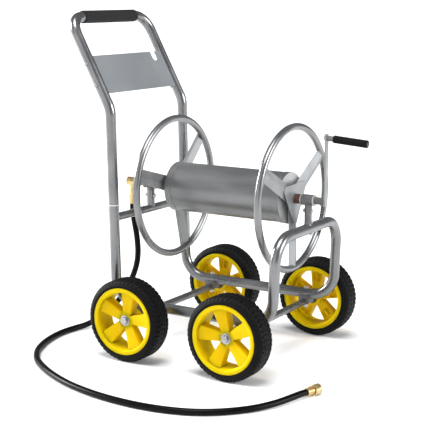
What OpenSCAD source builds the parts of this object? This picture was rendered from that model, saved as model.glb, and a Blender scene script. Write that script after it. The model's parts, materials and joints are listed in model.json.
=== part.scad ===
// Four-wheel garden hose reel cart, rebuilt as separate pieces.
// Millimetres. +X runs forward to the crank, +Y to the cart's left, +Z up.
// The origin is on the floor, under the middle of the cart.

/* [Wheels] */
// Outside diameter of a tyre
wheel_d = 254; // [240:1:270]
// Distance between the front and rear axles
wheelbase = 356; // [340:2:370]
// Distance from the cart's middle to a wheel's outer face
wheel_face_y = 320; // [312:1:330]
// Width of a tyre
wheel_w = 76; // [70:1:80]
// Radius of the rim's flange
rim_r = 103; // [98:1:105]
// Number of spokes in a wheel
wheel_spokes = 5; // [4:1:6]

/* [Frame] */
// Outside diameter of the main frame tube
frame_od = 32; // [30:0.5:34]
// Wall of the frame tubes
tube_wall = 1.5; // [1.2:0.1:2]
// Distance from the cart's middle to a side rail
rail_y = 200; // [195:1:205]
// Centreline radius of the lower bends and the hoop's corners
bend_r = 78; // [70:1:84]
// Middle of the rear upright where it leaves its bend
upright_x = -284; // [-290:1:-280]
// Lean of the rear uprights from vertical, in degrees
upright_lean = 1.65; // [0:0.05:3]
// Middle of the front leg where it leaves its bend
leg_x = 276; // [272:1:280]
// Forward lean of the front hoop, in degrees
hoop_lean = 2; // [0:0.5:3]
// Height of the hoop's top bar
hoop_z = 410; // [400:1:412]
// Height of the rear crossbar
crossbar_z = 416; // [405:1:420]

/* [Handle] */
// Height where the handle plugs into the lower frame
plug_z = 456; // [450:1:470]
// Height of the handle's kink
kink_z = 752; // [720:1:780]
// Tilt of the upper handle from vertical, in degrees
handle_tilt = 28.8; // [20:0.1:35]
// Length from the kink to the middle of the handle bar
handle_len = 313.8; // [290:0.2:340]
// Centreline radius of the handle's top corners
corner_r = 57; // [50:1:60]
// Length of the foam grip
grip_len = 280; // [240:2:284]
// Outside diameter of the foam grip
grip_d = 40; // [38:1:44]

/* [Tool panel] */
// Distance from the kink to the panel's top edge
panel_top = 177; // [165:1:190]
// Height of the panel along the handle
panel_h = 128; // [110:1:135]
// Place of the tool slot across the panel
slot_y = 137; // [100:1:145]
// Width of the tool slot
slot_w = 24; // [16:1:30]
// Depth of the tool slot
slot_depth = 33; // [20:1:40]

/* [Reel] */
// Height of the reel's axis
reel_z = 498; // [494:1:502]
// Centreline radius of the two guide rings
ring_r = 215.6; // [205:0.2:220]
// Outside diameter of a guide ring's tube
ring_od = 22; // [18:1:24]
// Plane of the front ring
front_ring_x = 229; // [226:1:232]
// Plane of the rear ring
rear_ring_x = -193; // [-196:1:-188]
// Outside radius of the drum
drum_r = 77; // [70:1:85]
// Width of a ring spoke at its hub
spoke_hub_w = 50; // [44:1:54]
// Width of a ring spoke at its ring
spoke_ring_w = 43; // [36:1:46]
// Height of the ridge along a ring spoke
spoke_ridge = 9; // [6:0.5:10]

/* [Crank] */
// Distance from the reel's axis to the crank's handle
crank_throw = 189.5; // [170:0.5:200]
// Width of the crank's arm
arm_w = 16; // [14:1:28]
// Droop of the crank's handle from the reel's axis, in degrees
crank_droop = 4; // [0:0.5:6]
// Diameter of the crank's foam grip
crank_grip_d = 24; // [22:1:28]

/* [Hose] */
// Outside diameter of the leader hose
hose_d = 19; // [16:0.5:20]

/* [Hidden] */
$fn = 64;

// Clearance of a running fit, on the radius
run_gap = 0.05;
// Gap between faces that pass each other
face_gap = 0.3;

// Wheels and axles
axle_r = 11;
axle_wall = 2.5;
axle_z = wheel_d / 2;
front_axle_x = wheelbase / 2;
rear_axle_x = -wheelbase / 2;
hub_recess = 20;
hub_r = 24;
bush_r = 14;
bush_flange_r = 17;
bush_flange_t = 3.5;
wheel_bolt_r = 6;
washer_r = 16;
washer_t = 2.5;
rim_seat_r = rim_r - 8;
rim_inside_r = rim_r - 12;
axle_end_y = wheel_face_y - hub_recess + face_gap;

// Frame
frame_r = frame_od / 2;
rail_z = axle_z + axle_r + frame_r;
bend_z = rail_z + bend_r;
rear_bend_x = upright_x + bend_r * cos(upright_lean);
front_bend_x = leg_x - bend_r * cos(hoop_lean);
upright_z = bend_z - bend_r * sin(upright_lean);
leg_z = bend_z - bend_r * sin(hoop_lean);
leg_stub = 15;
bend_over = 0.9;
bend_swell = 0.3;
hoop_rise = (hoop_z - leg_z) / cos(hoop_lean);
hoop_x = leg_x + hoop_rise * sin(hoop_lean);
crossbar_r = 12.5;
post_r = 11;
saddle_half = 18;

// Centre of the rear upright at a height
function upright_x_at(z) = upright_x - (z - upright_z) * tan(upright_lean);
crossbar_x = upright_x_at(crossbar_z);

// Handle
kink_x = upright_x_at(kink_z);
kink_turn = handle_tilt - upright_lean;
kink_tangent = bend_r * tan(kink_turn / 2);
bar_x = kink_x - handle_len * sin(handle_tilt);
bar_z = kink_z + handle_len * cos(handle_tilt);
plug_len = 45;
panel_t = 1.5;
panel_lift = 9;
flange_depth = 20;
panel_bolt_s = [panel_top - 22, panel_top - 96];

// Reel
shaft_r = 11;
shaft_bore_r = 8.5;
shaft_rear_x = -330;
shaft_front_x = 335;
drum_front_x = front_ring_x - 9;
drum_rear_x = rear_ring_x + 9;
drum_wall = 1.2;
cap_t = 1.5;
cap_lip = 20;
spoke_t = 2;
front_spokes = [32, 152, 272];
rear_spokes = [44, 164, 284];
boss_r = 16;
boss_out = 11;
screw_in = 15;
sleeve_r = 16.5;
sleeve_len = 39;
sleeve_bush_r = 13.5;
sleeve_flange_r = 17.2;
sleeve_flange_t = 2.5;
bush_len = 14;
front_sleeve_x = hoop_x - 0.8;
rear_sleeve_x = crossbar_x;
post_top = 475;
stem_low = 436;
front_bolt_z = 465;
rear_bolt_z = 458;
post_bolt_r = 3;
outlet_x = -148;
outlet_angle = -35;

// Crank
arm_t = 5;
arm_x = shaft_front_x;
arm_low = 14;
arm_top = 12;
pin_z = reel_z + crank_throw;
pin_r = 5;
crank_sleeve_r = 8;
droop_gap = 0.7;
crank_end = (-(bar_x - grip_d / 2) - arm_x) / cos(crank_droop) - 1;
crank_nut_at = crank_end - 9;
crank_grip_at = 26;

// Inlet
inlet_x = -361;
elbow_r = 14;
elbow_rear_x = -377;
elbow_front_x = -343;
spigot_r = 8;
elbow_low_z = 440;
hose_top_z = 425;

// Route of the leader hose, from the inlet's ferrule down to the floor and
// round the cart's right side to its coupling
HOSE_ROUTE = [
    [-361, 0, 425], [-361, 0, 400], [-356, 0, 368], [-349, 0, 334], [-344, 0, 300],
    [-342, 0, 265], [-346, 0, 230], [-358, 0, 192], [-378, -2, 150], [-404, -8, 108],
    [-436, -22, 66], [-468, -48, 32], [-492, -86, 14], [-506, -128, 10], [-511, -175, 10],
    [-508, -225, 10], [-498, -275, 10], [-479, -332, 10], [-447, -394, 10],
    [-392, -459, 10], [-320, -512, 10], [-240, -556, 10], [-155, -590, 10],
    [-45, -616, 10], [65, -624, 10], [160, -615, 10], [243, -590, 10], [310, -547, 10],
    [366, -485, 10], [402, -420, 11.5], [424, -362, 15], [434, -328, 16.5], [441, -304, 16.5]
];
hose_last = len(HOSE_ROUTE) - 1;
coupling_at = HOSE_ROUTE[hose_last];
coupling_run = coupling_at - HOSE_ROUTE[hose_last - 1];
coupling_heading = atan2(coupling_run[1], coupling_run[0]);
ferrule_len = 24;
nut_back = 26;
nut_len = 24;

// ---------- shared shapes ----------

// Round pipe along +Z
module pipe(r, wall, length) {
    difference() {
        cylinder(r = r, h = length);
        translate([0, 0, -1]) cylinder(r = r - wall, h = length + 2);
    }
}

// Bent pipe from the origin, heading +Z. Each step is a straight length, a bend angle
// towards local +X, the bend's radius, and a roll about the heading before them. A bend
// is a hair thicker than the straights and runs over their ends, as a pressed bend does.
module bent_pipe(steps, r, wall, i = 0) {
    if (i < len(steps)) {
        length = steps[i][0];
        angle = steps[i][1];
        radius = steps[i][2];
        rotate([0, 0, steps[i][3]]) {
            pipe(r, wall, length);
            translate([0, 0, length]) {
                if (angle > 0)
                    translate([radius, 0, 0])
                    rotate([90, 0, 180])
                    rotate([0, 0, -bend_over])
                    rotate_extrude(angle = angle + 2 * bend_over)
                    translate([radius, 0])
                    difference() {
                        circle(r = r + bend_swell);
                        circle(r = r - wall - bend_swell);
                    }
                translate([radius * (1 - cos(angle)), 0, radius * sin(angle)])
                rotate([0, angle, 0])
                bent_pipe(steps, r, wall, i + 1);
            }
        }
    }
}

module both_sides() {
    children();
    mirror([0, 1, 0]) children();
}

// Cylinder along +X that starts at a point
module x_rod(at, r, length) {
    translate(at) rotate([0, 90, 0]) cylinder(r = r, h = length);
}

// Cylinder along +Y that starts at a point
module y_rod(at, r, length) {
    translate(at) rotate([-90, 0, 0]) cylinder(r = r, h = length);
}

// Hexagonal prism along +Z
module hex(across_flats, length) {
    cylinder(r = across_flats / (2 * cos(30)), h = length, $fn = 6);
}

// Washer or bush along +Z
module ring(outer_r, inner_r, length) {
    difference() {
        cylinder(r = outer_r, h = length);
        translate([0, 0, -1]) cylinder(r = inner_r, h = length + 2);
    }
}

// Hexagon bolt along -Z: the head stands above the origin, the shank goes down
module hex_bolt(shank_r, length, head_af, head_h) {
    translate([0, 0, -length]) cylinder(r = shank_r, h = length + head_h / 2);
    intersection() {
        hex(head_af, head_h);
        cylinder(r1 = head_af * 0.9, r2 = head_af * 0.5, h = head_h);
    }
}

// Lock nut that stands on the origin along +Z
module lock_nut(hole_r, across_flats, length) {
    difference() {
        union() {
            hex(across_flats, length * 0.7);
            cylinder(r = across_flats * 0.44, h = length);
        }
        translate([0, 0, -1]) cylinder(r = hole_r, h = length + 2);
    }
}

// ---------- lower frame ----------

// Rail at the cart's right side: rear upright, bend, rail, bend and start of the leg
module right_side_rail() {
    stub = (plug_z - upright_z) / cos(upright_lean);
    color("silver")
    difference() {
        translate([upright_x_at(plug_z), -rail_y, plug_z])
        rotate([0, 180 - upright_lean, 0])
        bent_pipe([
            [stub, 90 - upright_lean, bend_r, 180],
            [front_bend_x - rear_bend_x, 90 - hoop_lean, bend_r, 0],
            [leg_stub, 0, 0, 0]
        ], frame_r, tube_wall);
        for (x = [front_axle_x, rear_axle_x])
            translate([x, -rail_y, rail_z - frame_r - 1]) cylinder(r = 4, h = frame_od + 2);
        translate([upright_x_at(plug_z - 20) - frame_od, -rail_y, plug_z - 20])
            rotate([0, 90, 0]) cylinder(r = 3, h = frame_od);
    }
}

module left_side_rail() {
    mirror([0, 1, 0]) right_side_rail();
}

// Front hoop: two legs, two corners and the top bar
module front_hoop() {
    leg = hoop_rise - bend_r - leg_stub;
    half_bar = rail_y - bend_r;
    color("silver")
    difference() {
        union() {
            both_sides()
                translate([leg_x, -rail_y, leg_z])
                rotate([0, hoop_lean, 0])
                translate([0, 0, leg_stub])
                bent_pipe([[leg, 90, bend_r, 90]], frame_r, tube_wall);
            translate([hoop_x, half_bar, hoop_z])
                rotate([90, 0, 0]) pipe(frame_r, tube_wall, 2 * half_bar);
        }
        translate([hoop_x, 20, hoop_z - frame_od]) cylinder(r = post_bolt_r, h = 2 * frame_od);
    }
}

// Short post welded on the hoop's top bar
module front_post() {
    color("silver")
    difference() {
        translate([front_sleeve_x, 0, hoop_z]) pipe(post_r, 2, post_top - hoop_z);
        y_rod([hoop_x, -30, hoop_z], frame_r, 60);
        x_rod([front_sleeve_x - 30, 0, front_bolt_z], post_bolt_r, 60);
    }
}

// Crossbar between the rear uprights, with the rear post welded on it
module rear_crossbar() {
    bar_bore = crossbar_r - tube_wall;
    color("silver")
    difference() {
        union() {
            y_rod([crossbar_x, -rail_y, crossbar_z], crossbar_r, 2 * rail_y);
            translate([crossbar_x, 0, crossbar_z]) cylinder(r = crossbar_r, h = post_top - crossbar_z);
        }
        y_rod([crossbar_x, -rail_y - 1, crossbar_z], bar_bore, 2 * rail_y + 2);
        translate([crossbar_x, 0, crossbar_z]) cylinder(r = bar_bore, h = post_top);
        both_sides()
            translate([crossbar_x, -rail_y, crossbar_z])
            rotate([0, -upright_lean, 0])
            translate([0, 0, -40]) cylinder(r = frame_r, h = 80);
        x_rod([crossbar_x - 30, 0, rear_bolt_z], post_bolt_r, 60);
    }
}

// ---------- handle ----------

// Moves its children to the start of the tilted handle, with local Z up the slope
// and local X square to it, to the front
module on_slope() {
    translate([kink_x, 0, kink_z]) rotate([0, -handle_tilt, 0]) children();
}

// One tube on each side with its plug, two corners and the bar that carries the grip
module handle_hoop() {
    lower = (kink_z - plug_z) / cos(upright_lean) - kink_tangent;
    upper = handle_len - kink_tangent - corner_r;
    half_bar = rail_y - corner_r;
    plug_r = frame_r - tube_wall - run_gap;
    color("silver")
    difference() {
        union() {
            both_sides()
                translate([upright_x_at(plug_z), -rail_y, plug_z])
                rotate([0, -upright_lean, 0]) {
                    bent_pipe([
                        [lower, kink_turn, bend_r, 180],
                        [upper, 90, corner_r, -90]
                    ], frame_r, tube_wall);
                    translate([0, 0, -plug_len]) pipe(plug_r, 2, plug_len + 5);
                    translate([0, 0, 2]) pipe(plug_r + 0.2, 2.5, 18);
                }
            translate([bar_x, half_bar, bar_z])
                rotate([90, 0, 0]) pipe(frame_r, tube_wall, 2 * half_bar);
        }
        on_slope()
            for (s = panel_bolt_s)
                y_rod([0, -rail_y - 30, s], 3, 2 * rail_y + 60);
        for (y = [-rail_y, rail_y])
            x_rod([upright_x_at(plug_z - 20) - frame_od, y, plug_z - 20], 3, frame_od);
    }
}

// Foam sleeve on the handle bar, with rounded ends
module handle_grip() {
    round = 6;
    r = grip_d / 2;
    color([0.1, 0.1, 0.1])
    translate([bar_x, 0, bar_z])
    rotate([90, 0, 0])
    rotate_extrude()
    difference() {
        union() {
            translate([0, -grip_len / 2 + round]) square([r, grip_len - 2 * round]);
            translate([0, -grip_len / 2]) square([r - round, grip_len]);
            for (y = [-1, 1])
                translate([r - round, y * (grip_len / 2 - round)]) circle(r = round);
        }
        translate([-1, -grip_len]) square([frame_r + 1, 2 * grip_len]);
        translate([-r, -grip_len]) square([r, 2 * grip_len]);
    }
}

// Screws that lock the handle in the lower frame, from the rear
module handle_screws() {
    z = plug_z - 20;
    color("gainsboro")
    for (y = [-rail_y, rail_y])
        translate([upright_x_at(z) - frame_r - face_gap, y, z])
        rotate([0, -90, 0]) {
            translate([0, 0, -8]) cylinder(r = 3, h = 9);
            cylinder(r1 = 6, r2 = 4, h = 3.5);
        }
}

// Sheet panel with two side flanges and an open slot for a tool
module tool_panel() {
    half = rail_y - frame_r;
    low = panel_top - panel_h;
    color([0.62, 0.63, 0.65])
    on_slope()
    difference() {
        union() {
            translate([panel_lift - panel_t, -half, low]) cube([panel_t, 2 * half, panel_h]);
            for (side = [-1, 1])
                translate([panel_lift - flange_depth, side * (half - panel_t / 2) - panel_t / 2, low])
                    cube([flange_depth, panel_t, panel_h]);
        }
        translate([0, slot_y, panel_top - slot_depth + slot_w / 2])
            rotate([0, 90, 0]) cylinder(d = slot_w, h = 2 * panel_lift);
        translate([0, slot_y - slot_w / 2, panel_top - slot_depth + slot_w / 2])
            cube([2 * panel_lift, slot_w, slot_depth]);
        for (s = panel_bolt_s)
            y_rod([0, -rail_y, s], 3, 2 * rail_y);
    }
}

module panel_bolts() {
    outer = rail_y + frame_r;
    color("gainsboro")
    on_slope()
    both_sides()
    for (s = panel_bolt_s)
        translate([0, -outer, s])
        rotate([90, 0, 0])
        hex_bolt(3, outer - rail_y + frame_r + 6, 10, 7);
}

module panel_nuts() {
    color("gainsboro")
    on_slope()
    both_sides()
    for (s = panel_bolt_s)
        translate([0, -(rail_y - frame_r - panel_t), s])
        rotate([-90, 0, 0])
        lock_nut(3, 10, 6);
}

// ---------- axles and wheels ----------

// Tube across the cart, with solid ends threaded for the wheel bolts
module axle(x) {
    plug = 30;
    color("silver")
    translate([x, 0, axle_z])
    difference() {
        y_rod([0, -axle_end_y, 0], axle_r, 2 * axle_end_y);
        y_rod([0, -axle_end_y + plug, 0], axle_r - axle_wall, 2 * (axle_end_y - plug));
        y_rod([0, -axle_end_y - 1, 0], wheel_bolt_r, 2 * axle_end_y + 2);
        for (y = [-rail_y, rail_y])
            translate([0, y, -20]) cylinder(r = 4, h = 40);
    }
}

module front_axle() {
    axle(front_axle_x);
}

module rear_axle() {
    axle(rear_axle_x);
}

// Saddles that hold the axles under the rails
module axle_saddles() {
    low = axle_z - 4;
    high = rail_z - 4;
    color([0.5, 0.5, 0.52])
    for (x = [front_axle_x, rear_axle_x], y = [-rail_y, rail_y])
        difference() {
            translate([x - saddle_half, y - saddle_half, low])
                cube([2 * saddle_half, 2 * saddle_half, high - low]);
            x_rod([x - 30, y, rail_z], frame_r, 60);
            y_rod([x, y - 30, axle_z], axle_r, 60);
            translate([x, y, axle_z]) cylinder(r = 4, h = 60);
        }
}

module axle_bolts() {
    color("gainsboro")
    for (x = [front_axle_x, rear_axle_x], y = [-rail_y, rail_y])
        translate([x, y, rail_z + frame_r])
        hex_bolt(4, frame_od + 2 * axle_r + 9, 13, 6);
}

module axle_nuts() {
    color("gainsboro")
    for (x = [front_axle_x, rear_axle_x], y = [-rail_y, rail_y])
        translate([x, y, axle_z - axle_r])
        rotate([180, 0, 0])
        lock_nut(4, 13, 8);
}

// Places its children at a wheel, with local +Z outward and the outer face at zero
module at_wheel(x, side) {
    translate([x, side * wheel_face_y, axle_z]) rotate([-side * 90, 0, 0]) children();
}

module at_wheels() {
    for (x = [front_axle_x, rear_axle_x], side = [-1, 1])
        at_wheel(x, side) children();
}

// Flanged bushes fixed on the axles, which the wheels turn on
module wheel_bushes() {
    hub_w = wheel_w - hub_recess;
    color("dimgray")
    at_wheels() {
        translate([0, 0, -wheel_w]) ring(bush_r, axle_r, hub_w + face_gap);
        translate([0, 0, -wheel_w - face_gap - bush_flange_t])
            ring(bush_flange_r, axle_r, bush_flange_t);
        translate([0, 0, -wheel_w - face_gap - 0.1]) ring(bush_r, axle_r, face_gap + 0.2);
    }
}

module wheel_washers() {
    color("gainsboro")
    at_wheels()
        translate([0, 0, -hub_recess + face_gap]) ring(washer_r, wheel_bolt_r, washer_t);
}

module wheel_bolts() {
    color("gainsboro")
    at_wheels()
        translate([0, 0, -hub_recess + face_gap + washer_t])
        hex_bolt(wheel_bolt_r, 26, 19, 8);
}

// Section of the tyre: bead seat, side walls, a grooved tread and a closed air chamber
module tyre_section() {
    r = wheel_d / 2;
    w = wheel_w;
    shoulder = 11;
    chamber_r = 7.5;
    chamber_half = 20;
    chamber_deep = 15.5;
    difference() {
        polygon([
            [rim_seat_r, -10], [rim_r, -5], [rim_r + 1, -1], [rim_r + 6, 0], [r - 9, -3],
            [r - 3, -7], [r, -shoulder], [r, -26], [r - 4, -27], [r - 4, -31], [r, -32],
            [r, -w + 32], [r - 4, -w + 31], [r - 4, -w + 27], [r, -w + 26],
            [r, -w + shoulder], [r - 3, -w + 7], [r - 9, -w + 3], [rim_r + 6, -w],
            [rim_r + 1, -w + 1], [rim_r, -w + 5], [rim_seat_r, -w + 10]
        ]);
        translate([r - chamber_deep - chamber_r, -w / 2 - chamber_half])
            square([2 * chamber_r, 2 * chamber_half]);
        for (y = [-1, 1])
            translate([r - chamber_deep, y * chamber_half - w / 2]) circle(r = chamber_r);
    }
}

module tyre(x, side) {
    color([0.12, 0.12, 0.12])
    at_wheel(x, side)
    rotate_extrude() tyre_section();
}

// Section of the rim before its windows are cut
module rim_section() {
    w = wheel_w;
    bore = bush_r + run_gap;
    polygon([
        [bore, -hub_recess], [hub_r, -hub_recess], [rim_inside_r - 3, -9], [rim_inside_r, -1],
        [rim_inside_r + 1, 0], [rim_r - 1, 0], [rim_r, -1], [rim_r, -5], [rim_seat_r, -10],
        [rim_seat_r, -w + 10], [rim_r, -w + 5], [rim_r, -w + 1], [rim_r - 1, -w],
        [rim_inside_r + 1, -w], [rim_inside_r, -w + 1], [rim_inside_r - 3, -w + 20],
        [hub_r + 6, -w + 24], [hub_r, -w], [bore, -w]
    ]);
}

// Window between two spokes: a wedge with its point near the hub
module rim_window() {
    tip = 27;
    half_angle = 21;
    reach = rim_inside_r - 4;
    intersection() {
        translate([0, 0, -wheel_w - 1])
            linear_extrude(wheel_w + 2)
            polygon([
                [tip, -2], [reach * 1.1, -reach * 1.1 * tan(half_angle) + 2],
                [reach * 1.1, reach * 1.1 * tan(half_angle) - 2], [tip, 2]
            ]);
        translate([0, 0, -wheel_w - 2]) cylinder(r = reach, h = wheel_w + 4);
    }
}

// Rim with windows between its spokes
module rim(x, side, turn) {
    color("gold")
    at_wheel(x, side)
    difference() {
        rotate_extrude() rim_section();
        for (i = [0:wheel_spokes - 1])
            rotate([0, 0, turn + 360 * (i + 0.5) / wheel_spokes]) rim_window();
    }
}

// ---------- bearings ----------

// Sleeve on a stem that plugs into its post
module bearing(x, stem_r, neck_r, bolt_z) {
    color("silver")
    difference() {
        union() {
            x_rod([x - sleeve_len / 2, 0, reel_z], sleeve_r, sleeve_len);
            translate([x, 0, post_top]) cylinder(r = neck_r, h = reel_z - post_top);
            translate([x, 0, stem_low]) cylinder(r = stem_r, h = post_top - stem_low + 1);
        }
        x_rod([x - sleeve_len, 0, reel_z], sleeve_bush_r, 2 * sleeve_len);
        x_rod([x - 30, 0, bolt_z], post_bolt_r, 60);
        translate([x, 0, stem_low - 1]) cylinder(r = stem_r - 2.5, h = post_top - stem_low);
    }
}

module front_bearing() {
    bearing(front_sleeve_x, post_r - 2 - run_gap, post_r, front_bolt_z);
}

module rear_bearing() {
    bearing(rear_sleeve_x, crossbar_r - tube_wall - run_gap, crossbar_r, rear_bolt_z);
}

// Two flanged bushes in a sleeve, one from each end
module sleeve_bushes(x) {
    bore = shaft_r + run_gap;
    color([0.42, 0.26, 0.18])
    translate([x, 0, reel_z])
    for (side = [-1, 1])
        rotate([0, side * 90, 0])
        translate([0, 0, sleeve_len / 2]) {
            translate([0, 0, -bush_len]) ring(sleeve_bush_r, bore, bush_len + 0.1);
            ring(sleeve_flange_r, bore, sleeve_flange_t);
        }
}

module front_bushes() {
    sleeve_bushes(front_sleeve_x);
}

module rear_bushes() {
    sleeve_bushes(rear_sleeve_x);
}

// Cross bolts of the two posts, and the bolt beside the front post
module post_bolts() {
    color("gainsboro") {
        translate([front_sleeve_x + post_r, 0, front_bolt_z])
            rotate([0, 90, 0]) hex_bolt(post_bolt_r, 2 * post_r + 7, 10, 4);
        translate([crossbar_x + crossbar_r, 0, rear_bolt_z])
            rotate([0, 90, 0]) hex_bolt(post_bolt_r, 2 * crossbar_r + 8, 10, 6);
        translate([hoop_x, 20, hoop_z + frame_r])
            hex_bolt(post_bolt_r, frame_od + 8, 10, 4);
    }
}

module post_nuts() {
    color("gainsboro") {
        translate([front_sleeve_x - post_r, 0, front_bolt_z])
            rotate([0, -90, 0]) lock_nut(post_bolt_r, 10, 6);
        translate([crossbar_x - crossbar_r, 0, rear_bolt_z])
            rotate([0, -90, 0]) lock_nut(post_bolt_r, 10, 6);
        translate([hoop_x, 20, hoop_z - frame_r])
            rotate([180, 0, 0]) lock_nut(post_bolt_r, 10, 6);
    }
}

// ---------- reel ----------

// Moves its children to the reel's axis at x, with local X to +Y, local Y up and
// local Z forward
module on_reel(x) {
    translate([x, 0, reel_z]) rotate([90, 0, 90]) children();
}

// Hollow shaft that carries the water in from the rear
module reel_shaft() {
    color("silver")
    difference() {
        x_rod([shaft_rear_x, 0, reel_z], shaft_r, shaft_front_x - shaft_rear_x);
        x_rod([shaft_rear_x - 1, 0, reel_z], shaft_bore_r, shaft_front_x - shaft_rear_x + 2);
        on_reel(outlet_x) rotate([0, 90, outlet_angle]) cylinder(r = 5, h = 20);
        translate([shaft_front_x - 12, 0, reel_z - 20]) cylinder(r = 2.5, h = 40);
    }
}

module drum_shell() {
    color([0.66, 0.68, 0.68])
    difference() {
        on_reel(drum_rear_x + cap_t)
            ring(drum_r, drum_r - drum_wall, drum_front_x - drum_rear_x - 2 * cap_t);
        on_reel(outlet_x)
            rotate([0, 90, outlet_angle])
            translate([0, 0, 40]) cylinder(r = 10, h = 60);
    }
}

// Pressed end of the drum: a disc with a lip over the shell
module drum_cap() {
    ring(drum_r + 1.3, drum_r, cap_lip);
    ring(drum_r + 0.5, boss_r, cap_t);
}

module front_drum_cap() {
    color([0.6, 0.61, 0.62])
    translate([drum_front_x, 0, reel_z]) rotate([90, 0, -90]) drum_cap();
}

module rear_drum_cap() {
    color([0.6, 0.61, 0.62])
    translate([drum_rear_x, 0, reel_z]) rotate([90, 0, 90]) drum_cap();
}

module guide_ring(x) {
    color("silver")
    on_reel(x)
    rotate_extrude()
    translate([ring_r, 0])
    difference() {
        circle(d = ring_od);
        circle(d = ring_od - 2 * tube_wall);
    }
}

module front_ring() {
    guide_ring(front_ring_x);
}

module rear_ring() {
    guide_ring(rear_ring_x);
}

// One pressed spoke along +X with a roof section, its ridge towards +Z
module ring_spoke() {
    half = spoke_hub_w / 2;
    wide = half + 5;
    edge_z = spoke_ridge * (1 - wide / half) - 1;
    intersection() {
        rotate([90, 0, 90])
            linear_extrude(ring_r)
            polygon([
                [-wide, edge_z], [0, spoke_ridge - 1], [wide, edge_z],
                [wide, edge_z - spoke_t], [0, spoke_ridge - 1 - spoke_t], [-wide, edge_z - spoke_t]
            ]);
        translate([0, 0, -10])
            linear_extrude(30)
            polygon([
                [-1, -half], [ring_r + 1, -spoke_ring_w / 2],
                [ring_r + 1, spoke_ring_w / 2], [-1, half]
            ]);
    }
}

// Three spokes that meet in a pressed cup round the hub and end against the ring, with a
// flat three-cornered plate welded on their ridges
module spider(angles) {
    cup_r = 31;
    cup_low = -3.5;
    cup_h = 12;
    cup_wall = 2.5;
    plate_reach = 76;
    plate_tip = 8;
    plate_t = 2.3;
    difference() {
        union() {
            for (a = angles)
                rotate([0, 0, a]) ring_spoke();
            translate([0, 0, cup_low]) cylinder(r = cup_r, h = cup_h);
            translate([0, 0, spoke_ridge - plate_t])
                linear_extrude(plate_t)
                polygon([
                    for (a = angles, side = [-1, 1])
                        [plate_reach * cos(a) - side * plate_tip * sin(a),
                         plate_reach * sin(a) + side * plate_tip * cos(a)]
                ]);
        }
        translate([0, 0, -20]) cylinder(r = boss_r, h = 60);
        translate([0, 0, cup_low - 1]) cylinder(r = cup_r - cup_wall, h = cup_h + 1 - cup_wall);
        rotate_extrude() translate([ring_r, 0]) circle(d = ring_od);
    }
}

module front_spider() {
    color([0.7, 0.71, 0.71]) on_reel(front_ring_x) spider(front_spokes);
}

module rear_spider() {
    color([0.7, 0.71, 0.71])
    mirror([1, 0, 0]) on_reel(-rear_ring_x) spider(rear_spokes);
}

// Boss that joins a drum cap and a spider to the shaft
module hub(x, out) {
    color([0.6, 0.6, 0.62])
    difference() {
        x_rod([min(x, out), 0, reel_z], boss_r, abs(out - x));
        x_rod([min(x, out) - 1, 0, reel_z], shaft_r, abs(out - x) + 2);
        translate([out - sign(out) * (boss_out + screw_in), 0, reel_z]) cylinder(r = 2.5, h = 30);
    }
}

module front_hub() {
    hub(drum_front_x - 12, front_ring_x + boss_out);
}

module rear_hub() {
    hub(drum_rear_x + 12, rear_ring_x - boss_out);
}

// Set screws of the two hubs
module hub_screws() {
    color("dimgray")
    for (x = [front_ring_x - screw_in, rear_ring_x + screw_in])
        translate([x, 0, reel_z + shaft_r]) cylinder(r = 2.5, h = boss_r - shaft_r + 1);
}

// Ribbed spacer between the front hub and its bearing
module shaft_spacer() {
    start = front_ring_x + boss_out;
    stop = front_sleeve_x - sleeve_len / 2 - sleeve_flange_t - face_gap;
    ribs = 14;
    color([0.4, 0.24, 0.17])
    on_reel(start)
    difference() {
        union() {
            cylinder(r = 13, h = stop - start);
            for (i = [0:ribs - 1])
                rotate([0, 0, 360 * i / ribs])
                translate([12, -1, 1]) cube([2.5, 2, stop - start - 2]);
        }
        translate([0, 0, -1]) cylinder(r = shaft_r, h = stop - start + 2);
    }
}

// Collar that stops the shaft against the rear bearing
module rear_collar() {
    start = rear_sleeve_x + sleeve_len / 2 + sleeve_flange_t + face_gap;
    color([0.6, 0.6, 0.62])
    on_reel(start) ring(15, shaft_r, 14);
}

// Brass outlet from the shaft through the drum's wall, where the user's hose joins
module outlet_fitting() {
    color([0.8, 0.62, 0.25])
    on_reel(outlet_x)
    rotate([0, 90, outlet_angle])
    difference() {
        union() {
            translate([0, 0, shaft_r - 1.5]) cylinder(r = 5, h = 10);
            translate([0, 0, shaft_r + 0.5]) cylinder(r = 9, h = drum_r - shaft_r + 4);
            translate([0, 0, drum_r + 1]) hex(27, 9);
            translate([0, 0, drum_r + 8]) cylinder(r = 11.5, h = 4);
            translate([0, 0, drum_r + 11]) cylinder(r = 13.2, h = 15);
        }
        translate([0, 0, shaft_r - 3]) cylinder(r = 4, h = 120);
    }
}

// Brass end of the shaft that turns inside the inlet elbow
module inlet_adapter() {
    hex_x = elbow_front_x + 2;
    color([0.8, 0.62, 0.25])
    difference() {
        union() {
            translate([hex_x, 0, reel_z]) rotate([0, 90, 0]) hex(24, shaft_rear_x - hex_x);
            x_rod([shaft_rear_x - 1, 0, reel_z], shaft_bore_r - run_gap, 21);
            x_rod([elbow_rear_x + 5, 0, reel_z], spigot_r, hex_x - elbow_rear_x - 4);
        }
        x_rod([elbow_rear_x, 0, reel_z], 5, 100);
    }
}

// ---------- crank ----------

// Moves its children to the crank's pin, with local +Z out along the drooping handle
module at_pin() {
    translate([arm_x, 0, pin_z]) rotate([0, 90 + crank_droop, 0]) children();
}

module crank_arm() {
    low = reel_z - arm_low;
    color("silver")
    difference() {
        union() {
            translate([arm_x, -arm_w / 2, low]) cube([arm_t, arm_w, pin_z + arm_top - low]);
            x_rod([arm_x - 24, 0, reel_z], shaft_bore_r - run_gap, 26);
        }
        at_pin() translate([0, 0, -5]) cylinder(r = pin_r, h = 15);
        translate([arm_x - 12, 0, reel_z - 20]) cylinder(r = 2.5, h = 40);
    }
}

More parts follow.
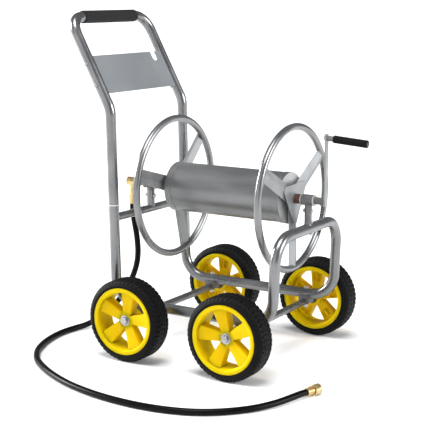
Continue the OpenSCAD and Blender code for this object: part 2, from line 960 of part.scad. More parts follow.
// Pin that locks the crank in the shaft
module crank_roll_pin() {
    color("dimgray")
    translate([arm_x - 12, 0, reel_z - shaft_r]) cylinder(r = 2.5, h = 2 * shaft_r);
}

// Long bolt that the crank's handle turns on
module crank_bolt() {
    color("gainsboro")
    at_pin() {
        translate([0, 0, -droop_gap - 1]) cylinder(r = pin_r, h = crank_nut_at + 6 + droop_gap);
        translate([0, 0, -droop_gap - 4]) hex(14, 4);
    }
}

module crank_nut() {
    color("gainsboro")
    at_pin() translate([0, 0, crank_nut_at]) lock_nut(pin_r, 13, 6);
}

module crank_sleeve() {
    start = arm_t + face_gap + droop_gap;
    color([0.4, 0.4, 0.41])
    at_pin()
        translate([0, 0, start])
        ring(crank_sleeve_r, pin_r + run_gap, crank_nut_at - face_gap - start);
}

// Foam grip on the crank's sleeve, closed and rounded at its end
module crank_grip() {
    r = crank_grip_d / 2;
    round = 4;
    length = crank_end - crank_grip_at;
    color([0.1, 0.1, 0.1])
    at_pin()
    translate([0, 0, crank_grip_at])
    difference() {
        union() {
            cylinder(r = r, h = length - round);
            cylinder(r = r - round, h = length);
            rotate_extrude()
                translate([r - round, length - round])
                intersection() {
                    circle(r = round);
                    square(round);
                }
        }
        translate([0, 0, -1]) cylinder(r = crank_sleeve_r, h = length - 0.5);
    }
}

// ---------- inlet and leader hose ----------

// Brass elbow that stays still, with its leg down to the hose
module inlet_elbow() {
    color([0.8, 0.62, 0.25])
    difference() {
        union() {
            x_rod([elbow_rear_x, 0, reel_z], elbow_r, elbow_front_x - elbow_rear_x);
            translate([inlet_x, 0, elbow_low_z]) cylinder(r = 9, h = reel_z - elbow_low_z);
            translate([inlet_x, 0, elbow_low_z]) hex(22, 15);
        }
        x_rod([elbow_rear_x + 4, 0, reel_z], spigot_r + run_gap, 40);
        translate([inlet_x, 0, elbow_low_z - 1]) cylinder(r = 5, h = reel_z - elbow_low_z);
    }
}

module inlet_seal() {
    color([0.1, 0.1, 0.1])
    translate([elbow_front_x + face_gap, 0, reel_z])
    rotate([0, 90, 0])
    ring(12, spigot_r + run_gap, 2 - 2 * face_gap);
}

module inlet_ferrule() {
    color([0.8, 0.62, 0.25])
    translate([inlet_x, 0, hose_top_z]) {
        ring(11.5, 5, elbow_low_z - hose_top_z);
        for (z = [2, 6, 10])
            translate([0, 0, z]) ring(12.3, 5, 2);
    }
}

// Smooth point on the route, between its points i and i + 1
function route_point(i, t) =
    let (
        a = HOSE_ROUTE[max(i - 1, 0)],
        b = HOSE_ROUTE[i],
        c = HOSE_ROUTE[min(i + 1, hose_last)],
        d = HOSE_ROUTE[min(i + 2, hose_last)],
        from = (c - a) / 2,
        to = (d - b) / 2
    )
    b * (2 * pow(t, 3) - 3 * pow(t, 2) + 1) + from * (pow(t, 3) - 2 * pow(t, 2) + t)
    + c * (3 * pow(t, 2) - 2 * pow(t, 3)) + to * (pow(t, 3) - pow(t, 2));

function unit(v) = v / norm(v);

// Points of one ring of the hose, square to the route
function hose_ring(points, i, sides) =
    let (
        ahead = points[min(i + 1, len(points) - 1)],
        behind = points[max(i - 1, 0)],
        along = unit(ahead - behind),
        across = unit(cross(along, [-0.43, 0.56, 0.71])),
        up = cross(across, along)
    )
    [for (k = [0:sides - 1])
        points[i] + hose_d / 2 * (cos(360 * k / sides) * across + sin(360 * k / sides) * up)];

module leader_hose() {
    sides = 10;
    points = concat(
        [HOSE_ROUTE[0]],
        [for (i = [1:hose_last - 2], t = [0, 0.5]) route_point(i, t)],
        [HOSE_ROUTE[hose_last - 1], HOSE_ROUTE[hose_last]]
    );
    rings = len(points);
    color([0.08, 0.08, 0.08])
    polyhedron(
        points = [for (i = [0:rings - 1]) each hose_ring(points, i, sides)],
        faces = concat(
            [[for (k = [sides - 1:-1:0]) k]],
            [for (i = [0:rings - 2], k = [0:sides - 1])
                [i * sides + k, i * sides + (k + 1) % sides,
                 (i + 1) * sides + (k + 1) % sides, (i + 1) * sides + k]],
            [[for (k = [0:sides - 1]) (rings - 1) * sides + k]]
        )
    );
}

// Places its children at the hose's end, with local +Z along the coupling
module at_coupling() {
    translate(coupling_at) rotate([0, 90, coupling_heading]) children();
}

// Ferrule and tail that hold the coupling nut on the hose
module coupling_tail() {
    color([0.8, 0.62, 0.25])
    at_coupling()
    difference() {
        union() {
            cylinder(r = 11, h = ferrule_len);
            for (z = [4, 10, 16])
                translate([0, 0, z]) cylinder(r = 11.8, h = 3);
            translate([0, 0, ferrule_len - 1]) cylinder(r = 8, h = 11);
            translate([0, 0, nut_back + 6 + face_gap]) cylinder(r = 11, h = 2);
        }
        translate([0, 0, -1]) cylinder(r = 5.5, h = 60);
    }
}

// Swivel nut with the female thread
module coupling_nut() {
    color([0.85, 0.66, 0.28])
    at_coupling()
    translate([0, 0, nut_back])
    difference() {
        union() {
            hex(28, nut_len - 6);
            cylinder(r = 14.6, h = nut_len);
        }
        translate([0, 0, -1]) cylinder(r = 8 + run_gap, h = nut_len);
        translate([0, 0, 6]) cylinder(r = 11.5, h = nut_len);
        translate([0, 0, 10]) cylinder(r = 12.6, h = nut_len);
    }
}

// ---------- assembly ----------

right_side_rail();
left_side_rail();
front_hoop();
front_post();
rear_crossbar();
handle_hoop();
handle_grip();
handle_screws();
tool_panel();
panel_bolts();
panel_nuts();
front_axle();
rear_axle();
axle_saddles();
axle_bolts();
axle_nuts();
wheel_bushes();
wheel_washers();
wheel_bolts();
tyre(front_axle_x, -1);  // tyre_front_right
rim(front_axle_x, -1, 30);  // rim_front_right
tyre(front_axle_x, 1);  // tyre_front_left
rim(front_axle_x, 1, -18);  // rim_front_left
tyre(rear_axle_x, -1);  // tyre_rear_right
rim(rear_axle_x, -1, 8);  // rim_rear_right
tyre(rear_axle_x, 1);  // tyre_rear_left
rim(rear_axle_x, 1, -18);  // rim_rear_left
front_bearing();
rear_bearing();
front_bushes();
rear_bushes();
post_bolts();
post_nuts();
reel_shaft();
drum_shell();
front_drum_cap();
rear_drum_cap();
front_ring();
rear_ring();
front_spider();
rear_spider();
front_hub();
rear_hub();
shaft_spacer();
rear_collar();
hub_screws();
outlet_fitting();
inlet_adapter();
crank_arm();
crank_roll_pin();
crank_bolt();
crank_nut();
crank_sleeve();
crank_grip();
inlet_elbow();
inlet_seal();
inlet_ferrule();
leader_hose();
coupling_tail();
coupling_nut();
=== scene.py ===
import json
import math

import bmesh
import bpy
from mathutils import Matrix, Vector, noise


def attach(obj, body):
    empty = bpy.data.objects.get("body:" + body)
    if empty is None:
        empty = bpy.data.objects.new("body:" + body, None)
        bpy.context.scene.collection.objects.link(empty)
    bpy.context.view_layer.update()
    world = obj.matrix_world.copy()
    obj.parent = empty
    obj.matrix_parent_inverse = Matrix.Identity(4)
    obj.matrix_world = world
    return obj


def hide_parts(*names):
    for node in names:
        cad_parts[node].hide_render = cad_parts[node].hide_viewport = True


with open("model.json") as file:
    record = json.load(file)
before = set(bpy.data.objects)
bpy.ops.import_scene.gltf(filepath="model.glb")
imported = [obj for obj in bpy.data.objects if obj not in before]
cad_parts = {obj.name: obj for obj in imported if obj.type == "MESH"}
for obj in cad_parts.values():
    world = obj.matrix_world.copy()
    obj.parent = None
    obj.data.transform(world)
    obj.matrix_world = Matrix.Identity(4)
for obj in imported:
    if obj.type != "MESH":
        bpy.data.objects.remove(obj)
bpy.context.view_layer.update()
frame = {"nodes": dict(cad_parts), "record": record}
scene = bpy.context.scene
scene.view_settings.view_transform = "Standard"

# Main sizes of the cart, in metres
WHEEL_R = 0.127
WHEEL_W = 0.076
FACE_Y = 0.320  # outer face of each wheel
HUB_R = 0.024
AXLE_X = 0.178
RAIL_Y = 0.200
FRAME_R = 0.016
REEL_Z = 0.498
RING_R = 0.2156
FRONT_RING_X = 0.229
REAR_RING_X = -0.193
FRONT_SPOKES = (32, 152, 272)  # degrees, from +Y towards +Z
REAR_SPOKES = (44, 164, 284)
CROSSBAR = (-0.2895, 0.416)  # x and z of bars and joints that run along Y
HOOP_BAR = (0.2823, 0.410)
HANDLE_BAR = (-0.4502, 1.0270)
PLUG = (-0.2905, 0.456)
UPRIGHT_LEAN = 1.65  # degrees
CRANK_PIN = (0.335, 0, 0.6875)
CRANK_DROOP = math.radians(4)
CRANK_RIB = 0.0085  # from one rib of the crank grip to the next


# ---------- camera and light ----------

def add_camera(azimuth, elevation, roll, target, distance, lens):
    a, e, r = (math.radians(v) for v in (azimuth, elevation, roll))
    back = Vector((math.sin(a) * math.cos(e), -math.cos(a) * math.cos(e), math.sin(e)))
    level = Vector((math.cos(a), math.sin(a), 0))
    upright = back.cross(level)
    right = math.cos(r) * level + math.sin(r) * upright
    up = math.cos(r) * upright - math.sin(r) * level
    data = bpy.data.cameras.new("camera")
    data.lens, data.sensor_width = lens, 36
    data.clip_end = 500
    cam = bpy.data.objects.new("camera", data)
    cam.matrix_world = Matrix((
        (right.x, up.x, back.x, target[0] + back.x * distance),
        (right.y, up.y, back.y, target[1] + back.y * distance),
        (right.z, up.z, back.z, target[2] + back.z * distance),
        (0, 0, 0, 1),
    ))
    scene.collection.objects.link(cam)
    scene.camera = cam


def add_sun(name, azimuth, elevation, strength, spread):
    a, e = math.radians(azimuth), math.radians(elevation)
    toward = Vector((math.sin(a) * math.cos(e), -math.cos(a) * math.cos(e), math.sin(e)))
    data = bpy.data.lights.new(name, "SUN")
    data.energy, data.angle = strength, math.radians(spread)
    sun = bpy.data.objects.new(name, data)
    sun.rotation_mode = "QUATERNION"
    sun.rotation_quaternion = toward.to_track_quat("Z", "Y")
    scene.collection.objects.link(sun)


add_camera(31.597, 10.786, 0.2607, (0.0025, -0.0868, 0.4416), 3.6113, 99.75)
add_sun("left_light", -80, 18, 4.3, 22)
add_sun("right_light", 106, 20, 2.5, 26)
add_sun("front_light", 0, 14, 0.7, 50)
add_sun("top_light", 10, 74, 2.8, 34)
world = bpy.data.worlds.new("studio")
scene.world = world
world.use_nodes = True
world.node_tree.nodes["Background"].inputs["Color"].default_value = (0.93, 0.95, 1.0, 1)
world.node_tree.nodes["Background"].inputs["Strength"].default_value = 0.22


# ---------- materials ----------

def surface(name, light, dark, rough, metallic=0.0, patch=14.0, grain=500.0, bump=0.1,
            stretch=(1, 1, 1), coat=0.0, specular=0.5, speckle=0.25, glow=0.0):
    """A material whose colour, roughness and relief vary over the surface. glow is the share of
    light that spreads inside a thin moulding."""
    m = bpy.data.materials.new(name)
    m.use_nodes = True
    tree = m.node_tree
    new, link = tree.nodes.new, tree.links.new
    shader = tree.nodes["Principled BSDF"]
    shader.inputs["Metallic"].default_value = metallic
    shader.inputs["Coat Weight"].default_value = coat
    shader.inputs["Coat Roughness"].default_value = 0.2
    shader.inputs["Specular IOR Level"].default_value = specular
    if glow:
        shader.inputs["Subsurface Weight"].default_value = glow
        shader.inputs["Subsurface Radius"].default_value = (1.0, 0.8, 0.1)
        shader.inputs["Subsurface Scale"].default_value = 0.03
    place = new("ShaderNodeTexCoord")
    mapping = new("ShaderNodeMapping")
    mapping.inputs["Scale"].default_value = stretch
    link(place.outputs["Object"], mapping.inputs["Vector"])
    broad, fine = new("ShaderNodeTexNoise"), new("ShaderNodeTexNoise")
    for node, scale, detail in ((broad, patch, 5), (fine, grain, 3)):
        node.inputs["Scale"].default_value = scale
        node.inputs["Detail"].default_value = detail
        link(mapping.outputs["Vector"], node.inputs["Vector"])
    tint = new("ShaderNodeValToRGB")
    tint.color_ramp.elements[0].position = 0.32
    tint.color_ramp.elements[1].position = 0.68
    tint.color_ramp.elements[0].color = (*dark, 1)
    tint.color_ramp.elements[1].color = (*light, 1)
    link(broad.outputs["Fac"], tint.inputs["Fac"])
    flecks = new("ShaderNodeMix")
    flecks.data_type, flecks.blend_type = "RGBA", "OVERLAY"
    flecks.inputs["Factor"].default_value = speckle
    link(tint.outputs["Color"], flecks.inputs["A"])
    to_grey = new("ShaderNodeRGBToBW")
    link(fine.outputs["Color"], to_grey.inputs["Color"])
    link(to_grey.outputs["Val"], flecks.inputs["B"])
    link(flecks.outputs["Result"], shader.inputs["Base Color"])
    level = new("ShaderNodeMapRange")
    level.inputs["From Min"].default_value = 0.3
    level.inputs["From Max"].default_value = 0.7
    level.inputs["To Min"].default_value = rough[0]
    level.inputs["To Max"].default_value = rough[1]
    link(broad.outputs["Fac"], level.inputs["Value"])
    link(level.outputs["Result"], shader.inputs["Roughness"])
    relief = new("ShaderNodeBump")
    relief.inputs["Strength"].default_value = bump
    relief.inputs["Distance"].default_value = 0.0004
    link(fine.outputs["Fac"], relief.inputs["Height"])
    link(relief.outputs["Normal"], shader.inputs["Normal"])
    return m


finish = {
    "frame_paint": surface("silver_paint", (0.25, 0.255, 0.26), (0.17, 0.175, 0.18),
                           (0.23, 0.34), metallic=0.85, patch=9, grain=900, bump=0.12,
                           coat=0.15),
    "panel_paint": surface("panel_paint", (0.235, 0.25, 0.262), (0.205, 0.218, 0.23),
                           (0.36, 0.48), metallic=0.35, patch=7, grain=900, bump=0.15),
    "drum_paint": surface("drum_paint", (0.20, 0.205, 0.205), (0.13, 0.135, 0.14),
                          (0.24, 0.38), metallic=0.6, patch=10, grain=700, bump=0.1,
                          stretch=(0.35, 1, 1), coat=0.2),
    "zinc": surface("zinc_plate", (0.47, 0.48, 0.49), (0.34, 0.35, 0.37), (0.22, 0.4),
                    metallic=0.95, patch=60, grain=1800, bump=0.15),
    "bearing_steel": surface("bearing_paint", (0.165, 0.165, 0.17), (0.115, 0.115, 0.12),
                             (0.35, 0.5), metallic=0.5, patch=30, grain=900, bump=0.15),
    "brass": surface("brass", (0.70, 0.54, 0.28), (0.55, 0.39, 0.17), (0.24, 0.42),
                     metallic=0.85, patch=70, grain=1500, bump=0.12),
    "foam": surface("foam", (0.014, 0.014, 0.015), (0.007, 0.007, 0.008), (0.7, 0.9),
                    patch=60, grain=1100, bump=0.8, specular=0.25, speckle=0.5),
    "hose_rubber": surface("hose_rubber", (0.0028, 0.0028, 0.003), (0.0015, 0.0015, 0.0017),
                           (0.28, 0.40), patch=18, grain=800, bump=0.2, specular=0.1),
    "tyre": surface("tyre_rubber", (0.005, 0.005, 0.0053), (0.0025, 0.0025, 0.0025),
                    (0.45, 0.65), patch=25, grain=600, bump=0.4, specular=0.1),
    "wheel_plastic": surface("yellow_plastic", (0.71, 0.495, 0.0), (0.66, 0.435, 0.0),
                             (0.42, 0.56), patch=20, grain=700, bump=0.12, specular=0.08,
                             speckle=0.08, glow=0.8),
    "bush_plastic": surface("cream_nylon", (0.55, 0.51, 0.44), (0.44, 0.40, 0.34),
                            (0.4, 0.55), patch=60, grain=900, bump=0.2),
    "spacer_plastic": surface("brown_nylon", (0.13, 0.06, 0.04), (0.08, 0.036, 0.024),
                              (0.4, 0.55), patch=60, grain=900, bump=0.2),
    "dark_plastic": surface("black_nylon", (0.05, 0.05, 0.052), (0.03, 0.03, 0.03),
                            (0.4, 0.55), patch=60, grain=900, bump=0.2),
}

# Finishes of single pieces that differ from the rest of their slot
front_sheet = surface("sheet_zinc", (0.35, 0.36, 0.365), (0.26, 0.27, 0.28), (0.46, 0.58),
                      metallic=0.6, patch=16, grain=900, bump=0.12)
# painted shade: a darker copy of the front spider's sheet, which tones down the highlights on the
# rear spider
rear_sheet_painted_shade = surface("rear_sheet_painted_shade", (0.29, 0.295, 0.30), (0.215, 0.22, 0.225), (0.46, 0.58),
                     metallic=0.5, patch=16, grain=900, bump=0.12)
bar_zinc = surface("bar_zinc", (0.33, 0.34, 0.34), (0.24, 0.25, 0.25), (0.32, 0.46),
                   metallic=0.6, patch=12, grain=900, bump=0.12)
# near-white: a painted highlight on the bare cut edge of each handle joint
bare_edge_painted_highlight = surface("bare_edge_painted_highlight", (0.93, 0.93, 0.93), (0.86, 0.86, 0.86), (0.3, 0.45),
                    metallic=0.3, patch=60, grain=900)
crank_foam = surface("crank_foam", (0.006, 0.006, 0.0065), (0.003, 0.003, 0.0033), (0.6, 0.8),
                     patch=60, grain=1100, bump=0.6, specular=0.12, speckle=0.4)


def cap_surface_painted_shade():
    """Sheet with painted light and shade: the end's disc keeps the bright colour and the lip gets
    a painted shade, told apart by the normal's X.
    """
    m = surface("cap_zinc_painted_shade", (0.46, 0.47, 0.475), (0.35, 0.36, 0.365), (0.30, 0.44),
                metallic=0.6, patch=12, grain=900, bump=0.12)
    new, link = m.node_tree.nodes.new, m.node_tree.links.new
    shader = m.node_tree.nodes["Principled BSDF"]
    bright = shader.inputs["Base Color"].links[0].from_socket
    geometry, parts = new("ShaderNodeNewGeometry"), new("ShaderNodeSeparateXYZ")
    link(geometry.outputs["Normal"], parts.inputs["Vector"])
    size = new("ShaderNodeMath")
    size.operation = "ABSOLUTE"
    link(parts.outputs["X"], size.inputs[0])
    lip_painted_shade = new("ShaderNodeMapRange")
    lip_painted_shade.inputs["From Min"].default_value = 0.4
    lip_painted_shade.inputs["From Max"].default_value = 0.8
    lip_painted_shade.inputs["To Min"].default_value = 1.0
    lip_painted_shade.inputs["To Max"].default_value = 0.0
    link(size.outputs["Value"], lip_painted_shade.inputs["Value"])
    # painted shade: where the normal turns away from X, on the lip, the colour is multiplied by
    # 0.48
    shade = new("ShaderNodeMix")
    shade.data_type, shade.blend_type = "RGBA", "MULTIPLY"
    shade.inputs["B"].default_value = (0.48, 0.48, 0.475, 1)
    link(lip_painted_shade.outputs["Result"], shade.inputs["Factor"])
    link(bright, shade.inputs["A"])
    link(shade.outputs["Result"], shader.inputs["Base Color"])
    return m


# both drum ends get this painted shade on their lips
drum_end_painted_shade = cap_surface_painted_shade()
special = {
    "front_spider": front_sheet, "rear_spider": rear_sheet_painted_shade, "crank_arm": bar_zinc,
    "front_drum_cap": drum_end_painted_shade, "rear_drum_cap": drum_end_painted_shade, "front_post": finish["bearing_steel"],
}

for part in frame["record"]["subparts"]:
    for slot in frame["nodes"][part["node"]].material_slots:
        slot.link = "OBJECT"
        slot.material = special.get(part["node"], finish[part["material_slot"]])


# ---------- mesh helpers ----------

def make_object(name, bm, slot, smooth_angle=35):
    bmesh.ops.recalc_face_normals(bm, faces=bm.faces)
    mesh = bpy.data.meshes.new(name)
    bm.to_mesh(mesh)
    bm.free()
    return place_mesh(name, mesh, slot, smooth_angle)


def place_mesh(name, mesh, slot, smooth_angle=35):
    obj = bpy.data.objects.new(name, mesh)
    scene.collection.objects.link(obj)
    if not mesh.materials:
        mesh.materials.append(finish[slot])
        mesh.shade_smooth()
        mesh.set_sharp_from_angle(angle=math.radians(smooth_angle))
    return obj


def lathe(bm, profile, steps, shape=lambda turn, r, y: (r, y), closed=True):
    """Adds a turned shape about +Y. profile holds (radius, y) pairs."""
    rings = []
    for i in range(steps):
        turn = i / steps
        a = 2 * math.pi * turn
        ring = []
        for r, y in profile:
            r, y = shape(turn, r, y)
            ring.append(bm.verts.new((r * math.cos(a), y, r * math.sin(a))))
        rings.append(ring)
    count = len(profile)
    for i in range(steps):
        here, there = rings[i], rings[(i + 1) % steps]
        for k in range(count if closed else count - 1):
            j = (k + 1) % count
            bm.faces.new((here[k], there[k], there[j], here[j]))


def tube(bm, path, radius, sides, ends=True, wobble=0.0):
    """Adds a tube along a path, with rings that don't twist. radius may be a function."""
    path = [Vector(p) for p in path]
    along = [(path[min(i + 1, len(path) - 1)] - path[max(i - 1, 0)]).normalized()
             for i in range(len(path))]
    side = along[0].orthogonal().normalized()
    rings = []
    for i, p in enumerate(path):
        side = (side - along[i] * side.dot(along[i])).normalized()
        other = along[i].cross(side)
        r = radius(i / (len(path) - 1)) if callable(radius) else radius
        ring = []
        for k in range(sides):
            a = 2 * math.pi * k / sides
            q = r * (1 + wobble * noise.noise(p * 400 + Vector((k, 0, 0))))
            ring.append(bm.verts.new(p + side * (q * math.cos(a)) + other * (q * math.sin(a))))
        rings.append(ring)
    for here, there in zip(rings, rings[1:]):
        for k in range(sides):
            j = (k + 1) % sides
            bm.faces.new((here[k], here[j], there[j], there[k]))
    if ends:
        bm.faces.new(list(reversed(rings[0])))
        bm.faces.new(rings[-1])


def catmull(points, per_span):
    """Smooth line through the points, the same curve as the CAD hose follows."""
    points = [Vector(p) for p in points]
    last = len(points) - 1
    line = []
    for i in range(last):
        a, b = points[max(i - 1, 0)], points[i]
        c, d = points[i + 1], points[min(i + 2, last)]
        start, stop = (c - a) / 2, (d - b) / 2
        for k in range(per_span):
            t = k / per_span
            line.append(b * (2 * t**3 - 3 * t**2 + 1) + start * (t**3 - 2 * t**2 + t)
                        + c * (3 * t**2 - 2 * t**3) + stop * (t**3 - t**2))
    return [*line, points[last]]


# ---------- leader hose ----------

HOSE_R = 0.0095
HOSE_ROUTE = [
    (-0.361, 0, 0.425), (-0.361, 0, 0.400), (-0.356, 0, 0.368), (-0.349, 0, 0.334),
    (-0.344, 0, 0.300), (-0.342, 0, 0.265), (-0.346, 0, 0.230), (-0.358, 0, 0.192),
    (-0.378, -0.002, 0.150), (-0.404, -0.008, 0.108), (-0.436, -0.022, 0.066),
    (-0.468, -0.048, 0.032), (-0.492, -0.086, 0.014), (-0.506, -0.128, 0.010),
    (-0.511, -0.175, 0.010), (-0.508, -0.225, 0.010), (-0.498, -0.275, 0.010),
    (-0.479, -0.332, 0.010), (-0.447, -0.394, 0.010), (-0.392, -0.459, 0.010),
    (-0.320, -0.512, 0.010), (-0.240, -0.556, 0.010), (-0.155, -0.590, 0.010),
    (-0.045, -0.616, 0.010), (0.065, -0.624, 0.010), (0.160, -0.615, 0.010),
    (0.243, -0.590, 0.010), (0.310, -0.547, 0.010), (0.366, -0.485, 0.010),
    (0.402, -0.420, 0.0115), (0.424, -0.362, 0.015), (0.434, -0.328, 0.0165),
    (0.441, -0.304, 0.0165),
]


def build_hose():
    line = catmull(HOSE_ROUTE, 10)
    bm = bmesh.new()
    tube(bm, line, HOSE_R, 28)
    hose = make_object("hose", bm, "hose_rubber")
    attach(hose, "chassis")
    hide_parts("leader_hose")


build_hose()


# ---------- wheels ----------

LUGS = 52


def smooth_step(low, high, x):
    t = min(max((x - low) / (high - low), 0), 1)
    return t * t * (3 - 2 * t)


def tread(turn, r, y):
    """Pushes the grooves of the tread in. y runs from 0 at the outer face to -WHEEL_W."""
    if r < WHEEL_R - 0.0105:
        return r, y
    across = abs(y + WHEEL_W / 2)
    middle = across < 0.0085
    inner = 0.0085 <= across < 0.0195
    phase = turn * LUGS + (0.5 if inner else 0.0) + (0.25 if middle else 0.0)
    phase += 14 * (across - 0.02) if not middle else 40 * (y + WHEEL_W / 2)
    t = phase % 1
    cut = smooth_step(0.0, 0.09, t) * (1 - smooth_step(0.24, 0.33, t))
    depth = 0.0024 if across > 0.0195 else 0.0015
    return r - depth * cut, y


def build_tyres():
    half = [
        (0.095, -0.0100), (0.0990, -0.0075), (0.103, -0.0050), (0.1034, -0.0028),
        (0.104, -0.0010), (0.1052, -0.0004), (0.1058, -0.0012), (0.1066, -0.0012),
        (0.1074, -0.0002), (0.1095, 0.0), (0.1120, -0.0006), (0.1140, -0.0014),
        (0.1148, -0.0022), (0.1156, -0.0020), (0.1166, -0.0024), (0.1180, -0.0031),
        (0.1205, -0.0044), (0.1225, -0.0056), (0.1243, -0.0074), (0.1258, -0.0094),
        (0.1267, -0.0115), (0.1270, -0.0140), (0.1270, -0.0170), (0.1268, -0.0183),
        (0.1240, -0.0187), (0.1240, -0.0206), (0.1268, -0.0210), (0.1270, -0.0222),
        (0.1270, -0.0262), (0.1270, -0.0288), (0.1266, -0.0295), (0.1244, -0.0299),
        (0.1244, -0.0314), (0.1266, -0.0318), (0.1270, -0.0326), (0.1270, -0.0360),
    ]
    profile = half + [(r, -WHEEL_W - y) for r, y in reversed(half)]
    bm = bmesh.new()
    lathe(bm, profile, LUGS * 10, tread)
    bmesh.ops.recalc_face_normals(bm, faces=bm.faces)
    mesh = bpy.data.meshes.new("tyre_mesh")
    bm.to_mesh(mesh)
    bm.free()
    return mesh


def rounded(points, radius, steps=3):
    """Rounds the corners of a closed outline of (a, b) pairs."""
    out = []
    count = len(points)
    for i in range(count):
        p = Vector(points[i])
        before, after = Vector(points[i - 1]) - p, Vector(points[(i + 1) % count]) - p
        r = min(radius, before.length * 0.45, after.length * 0.45)
        a, b = p + before.normalized() * r, p + after.normalized() * r
        for k in range(steps + 1):
            t = k / steps
            out.append(tuple(a * (1 - t) ** 2 + p * (2 * t * (1 - t)) + b * t * t))
    return out


def build_rims():
    bm = bmesh.new()
    barrel = rounded([
        (0.0875, -0.010), (0.0905, -0.0008), (0.0918, 0.0), (0.1020, 0.0),
        (0.1030, -0.0010), (0.1030, -0.0050), (0.0950, -0.0100), (0.0950, -0.0660),
        (0.1030, -0.0710), (0.1030, -0.0750), (0.1020, -0.0760), (0.0918, -0.0760),
        (0.0905, -0.0752), (0.0875, -0.066),
    ], 0.0012)
    lathe(bm, barrel, 144)
    bore = 0.01405
    hub = rounded([(bore, -0.020), (HUB_R, -0.020), (HUB_R, -WHEEL_W), (bore, -WHEEL_W)], 0.0012)
    lathe(bm, hub, 72)
    stations = [0.0205, 0.024, 0.028, 0.034, 0.042, 0.0500, 0.0506, 0.058, 0.066, 0.0740, 0.0746,
                0.080, 0.0845, 0.0878]
    for i in range(5):
        a = math.radians(72 * i)
        radial = Vector((math.cos(a), 0, math.sin(a)))
        across = Vector((-math.sin(a), 0, math.cos(a)))
        rings = []
        for x in stations:
            half = 0.0138 + 0.130 * (x - 0.0205) + 0.0035 * smooth_step(0.080, 0.089, x)
            front = -0.0195 + 0.172 * (x - HUB_R)
            back = -0.0490 + 0.05 * (x - HUB_R)
            inset = back + (0.007 if 0.0503 < x < 0.0743 else 0)  # two pockets in the back
            side = [(half - 0.0035, front), (half - 0.001, front - 0.001), (half, front - 0.0035),
                    (half, back + 0.0015), (half - 0.0015, back), (half - 0.0034, back),
                    (half - 0.0040, inset), (0.0026, inset), (0.0020, back)]
            outline = [(0, front + 0.0011), (half * 0.5, front + 0.0008), *side,
                       *[(-w, y) for w, y in reversed(side)], (-half * 0.5, front + 0.0008)]
            rings.append([bm.verts.new(radial * x + across * w + Vector((0, y, 0)))
                          for w, y in outline])
        count = len(rings[0])
        for here, there in zip(rings, rings[1:]):
            for k in range(count):
                j = (k + 1) % count
                bm.faces.new((here[k], here[j], there[j], there[k]))
        bm.faces.new(list(reversed(rings[0])))
        bm.faces.new(rings[-1])
    bmesh.ops.recalc_face_normals(bm, faces=bm.faces)
    mesh = bpy.data.meshes.new("rim_mesh")
    bm.to_mesh(mesh)
    bm.free()
    return mesh


def build_wheels():
    tyre_mesh, rim_mesh = build_tyres(), build_rims()
    # the first spoke's angle on each wheel, from +X towards +Z. The tread turns only a fifth of
    # it, which its even pattern doesn't show, so that the tyre's own box stays close to the wheel
    wheels = [("front_right", 1, -1, 30), ("rear_right", -1, -1, 8),
              ("front_left", 1, 1, 18), ("rear_left", -1, 1, 18)]
    for where, end, side, turn in wheels:
        outward = Matrix.Identity(4) if side > 0 else Matrix.Rotation(math.pi, 4, "Z")
        place = Matrix.Translation((end * AXLE_X, side * FACE_Y, WHEEL_R)) @ outward
        for kind, mesh, slot, share in (("tyre", tyre_mesh, "tyre", 0.2),
                                        ("rim", rim_mesh, "wheel_plastic", 1.0)):
            obj = place_mesh(f"{kind}_{where}_moulded", mesh, slot, 40)
            spin = -turn * share if side > 0 else turn * share - 180
            obj.matrix_world = place @ Matrix.Rotation(math.radians(spin), 4, "Y")
            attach(obj, f"wheel_{where}")
            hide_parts(f"{kind}_{where}")


build_wheels()


# ---------- grips ----------

def build_handle_grip():
    half, r, bore, soft = 0.140, 0.020, 0.0163, 0.006
    profile = [(bore, -half + 0.002)]
    for k in range(7):
        a = math.pi / 2 * k / 6
        profile.append((r - soft + soft * math.sin(a), -half + soft - soft * math.cos(a)))
    for k in range(1, 70):
        profile.append((r, -half + soft + (2 * half - 2 * soft) * k / 70))
    for k in range(7):
        a = math.pi / 2 * k / 6
        profile.append((r - soft + soft * math.cos(a), half - soft + soft * math.sin(a)))
    profile.append((bore, half - 0.002))

    def dents(turn, rad, y):
        if rad < bore + 0.001:
            return rad, y
        a = 2 * math.pi * turn
        p = Vector((math.cos(a), y * 40, math.sin(a)))
        return rad + 0.00035 * noise.noise(p * 2.2), y

    bm = bmesh.new()
    lathe(bm, profile, 72, dents)
    grip = make_object("handle_grip_foam", bm, "foam", 60)
    grip.matrix_world = Matrix.Translation((HANDLE_BAR[0], 0, HANDLE_BAR[1]))
    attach(grip, "chassis")
    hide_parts("handle_grip")


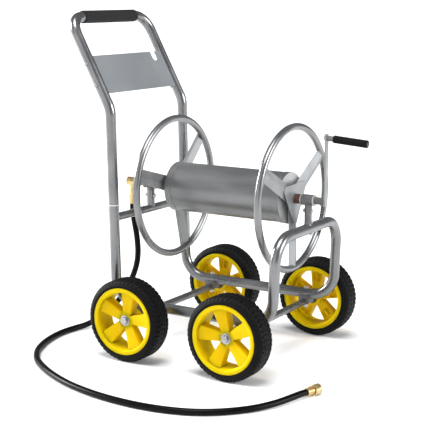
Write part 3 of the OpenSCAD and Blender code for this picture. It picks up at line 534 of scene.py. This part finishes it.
def build_crank_grip():
    start, stop, r, bore, end_r = 0.026, 0.1345, 0.012, 0.0081, 0.004
    length = stop - start
    profile = [(bore, 0.0), (r - 0.0020, 0.0), (r - 0.0008, 0.0006)]
    y = 0.0015
    while y < length - end_r:
        profile.append((r - 0.00055 * (1 + math.cos(2 * math.pi * y / CRANK_RIB)), y))
        y += CRANK_RIB / 10
    for k in range(9):
        a = math.pi / 2 * k / 8
        profile.append((r - end_r + end_r * math.cos(a), length - end_r + end_r * math.sin(a)))
    profile += [(0.0070, length - 0.0003), (0.0068, length - 0.0012), (bore, length - 0.0020)]
    pin = (Matrix.Translation(CRANK_PIN) @ Matrix.Rotation(CRANK_DROOP, 4, "Y")
           @ Matrix.Rotation(math.radians(-90), 4, "Z"))
    bm = bmesh.new()
    lathe(bm, profile, 56)
    grip = make_object("crank_grip_foam", bm, "foam", 50)
    grip.data.materials[0] = crank_foam
    grip.matrix_world = pin @ Matrix.Translation((0, start, 0))
    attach(grip, "crank_handle")
    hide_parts("crank_grip")
    bm = bmesh.new()
    lathe(bm, [(0.0006, 0.0010), (0.0030, 0.0009), (0.0052, 0.0005), (0.0064, -0.0001),
               (0.0067, -0.0008), (0.0067, -0.0022), (0.0006, -0.0022)], 40)
    cap = make_object("crank_end_plug", bm, "dark_plastic")
    cap.matrix_world = pin @ Matrix.Translation((0, stop - 0.0008, 0))
    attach(cap, "crank_handle")


build_handle_grip()
build_crank_grip()


# ---------- welds ----------

def weld(bm, path):
    tube(bm, path, 0.0016, 8, wobble=0.5)


def build_welds():
    """Beads at the crossbar's ends, at the feet of both posts and at the spokes' ends."""
    bm = bmesh.new()
    turns = [2 * math.pi * k / 48 for k in range(49)]
    bar_r, post_r, upright_r, hoop_r = 0.0127, 0.0112, 0.0163, 0.0162
    x, z = CROSSBAR
    for side in (-1, 1):
        weld(bm, [(x + bar_r * math.cos(a),
                   side * (RAIL_Y - math.sqrt(upright_r**2 - (bar_r * math.cos(a))**2)),
                   z + bar_r * math.sin(a)) for a in turns])
    weld(bm, [(HOOP_BAR[0] - 0.0008 + post_r * math.cos(a), post_r * math.sin(a),
               HOOP_BAR[1] + math.sqrt(hoop_r**2 - (post_r * math.cos(a))**2)) for a in turns])
    weld(bm, [(x + bar_r * math.cos(a), bar_r * math.sin(a),
               z + math.sqrt(max(bar_r**2 - (0.0124 * math.sin(a + math.pi / 2))**2, 0)))
              for a in turns])
    frame_welds = make_object("frame_welds", bm, "frame_paint", 60)
    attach(frame_welds, "chassis")

    bm = bmesh.new()
    for ring_x, side, angles in ((FRONT_RING_X, 1, FRONT_SPOKES), (REAR_RING_X, -1, REAR_SPOKES)):
        for angle in angles:
            a = math.radians(angle)
            path = []
            for k in range(25):
                w = 0.0195 * (k / 12 - 1)
                up = 0.009 * (1 - abs(w) / 0.025) - 0.0008  # follows the spoke's folded section
                rho = RING_R - math.sqrt(0.0111**2 - up**2)
                path.append((ring_x + side * up, rho * math.cos(a) - w * math.sin(a),
                             REEL_Z + rho * math.sin(a) + w * math.cos(a)))
            weld(bm, path)
    reel_welds = make_object("reel_welds", bm, "frame_paint", 60)
    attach(reel_welds, "reel")


build_welds()


# ---------- seams where the handle plugs in ----------

def build_seams():
    """The bare cut edge of the tube, coloured near-white as a painted highlight: a thin bright
    line around each upright.
    """
    bm = bmesh.new()
    proud = FRAME_R + 0.00025
    lathe(bm, [(FRAME_R, -0.0010), (proud, -0.0008), (proud, 0.0008), (FRAME_R, 0.0010)], 48)
    x, z = PLUG
    lean = (Matrix.Rotation(math.radians(-UPRIGHT_LEAN), 4, "Y")
            @ Matrix.Rotation(math.radians(90), 4, "X"))
    left = bm.verts[:]
    copy = bmesh.ops.duplicate(bm, geom=bm.verts[:] + bm.edges[:] + bm.faces[:])["geom"]
    right = [v for v in copy if isinstance(v, bmesh.types.BMVert)]
    for verts, y in ((left, -RAIL_Y), (right, RAIL_Y)):
        bmesh.ops.transform(bm, matrix=Matrix.Translation((x, y, z)) @ lean, verts=verts)
    seams = make_object("handle_joint_edges", bm, "zinc")
    seams.data.materials[0] = bare_edge_painted_highlight
    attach(seams, "chassis")


build_seams()


# ---------- floor ----------

def build_floor():
    bm = bmesh.new()
    bmesh.ops.create_grid(bm, x_segments=1, y_segments=1, size=400)
    mesh = bpy.data.meshes.new("floor")
    bm.to_mesh(mesh)
    bm.free()
    floor = bpy.data.objects.new("floor", mesh)
    scene.collection.objects.link(floor)
    m = bpy.data.materials.new("floor")
    m.use_nodes = True
    shader = m.node_tree.nodes["Principled BSDF"]
    shader.inputs["Base Color"].default_value = (0.95, 0.95, 0.95, 1)
    shader.inputs["Roughness"].default_value = 0.6
    shader.inputs["Specular IOR Level"].default_value = 0.2
    mesh.materials.append(m)


build_floor()
